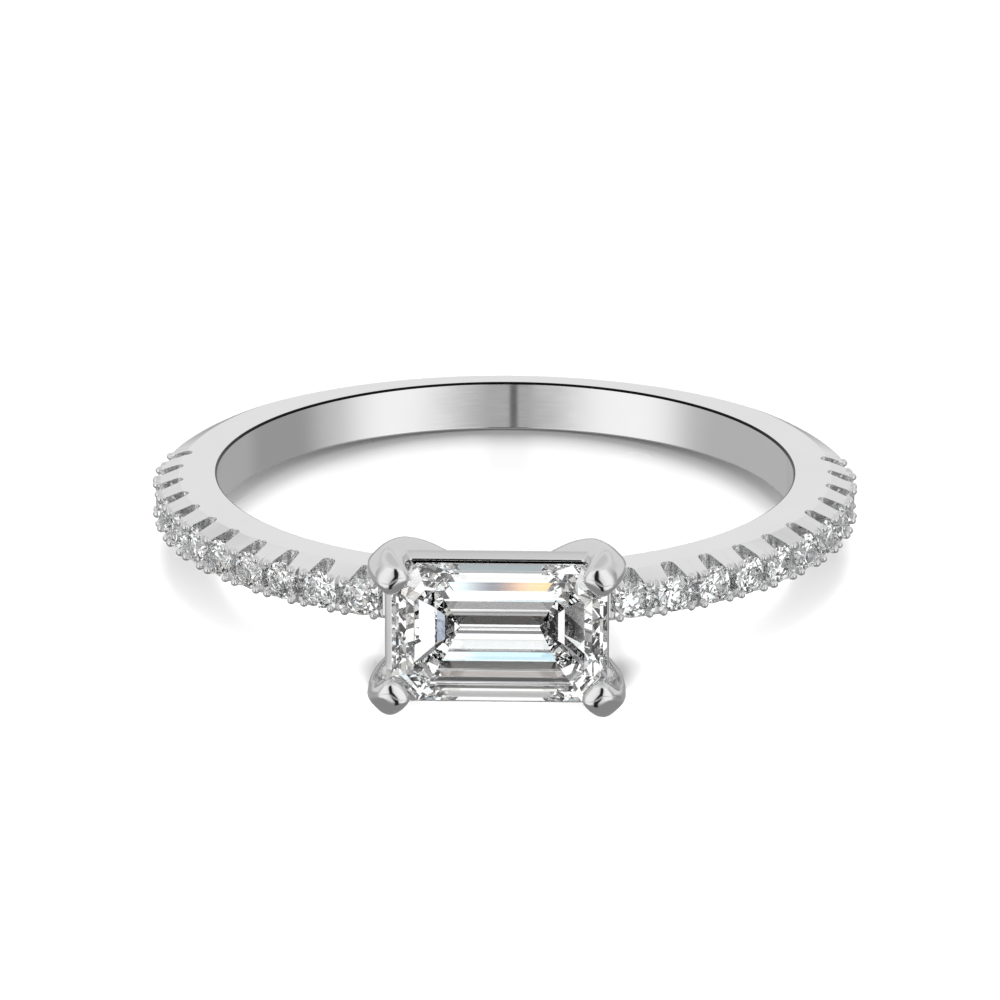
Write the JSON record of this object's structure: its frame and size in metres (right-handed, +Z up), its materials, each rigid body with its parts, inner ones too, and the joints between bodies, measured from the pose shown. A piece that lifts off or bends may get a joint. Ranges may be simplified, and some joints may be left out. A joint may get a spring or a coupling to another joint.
{
  "type": "emerald-cut ring with side stones",
  "caption": "Narrow white metal ring with a step-cut rectangular stone held across the finger in a claw basket, and small round stones in scalloped seats along both shoulders.",
  "frame": {"origin": "centre of the finger hole, halfway along its wall", "axes": "+Y from the head towards the back of the band, +Z up from the surface that the ring lies on, +X across the head"},
  "size_m": [0.0206, 0.0223, 0.0049],
  "materials": {
    "white_metal": "high polish",
    "clear_stone": "polished facets"
  },
  "bodies": {
    "root": {"ring_metal": "white_metal", "centre_stone": "clear_stone", "side_stone_left_01": "clear_stone", "side_stone_left_02": "clear_stone", "side_stone_left_03": "clear_stone", "side_stone_left_04": "clear_stone", "side_stone_left_05": "clear_stone", "side_stone_left_06": "clear_stone", "side_stone_left_07": "clear_stone", "side_stone_left_08": "clear_stone", "side_stone_left_09": "clear_stone", "side_stone_left_10": "clear_stone", "side_stone_left_11": "clear_stone", "side_stone_right_01": "clear_stone", "side_stone_right_02": "clear_stone", "side_stone_right_03": "clear_stone", "side_stone_right_04": "clear_stone", "side_stone_right_05": "clear_stone", "side_stone_right_06": "clear_stone", "side_stone_right_07": "clear_stone", "side_stone_right_08": "clear_stone", "side_stone_right_09": "clear_stone", "side_stone_right_10": "clear_stone", "side_stone_right_11": "clear_stone"}
  },
  "joints": []
}
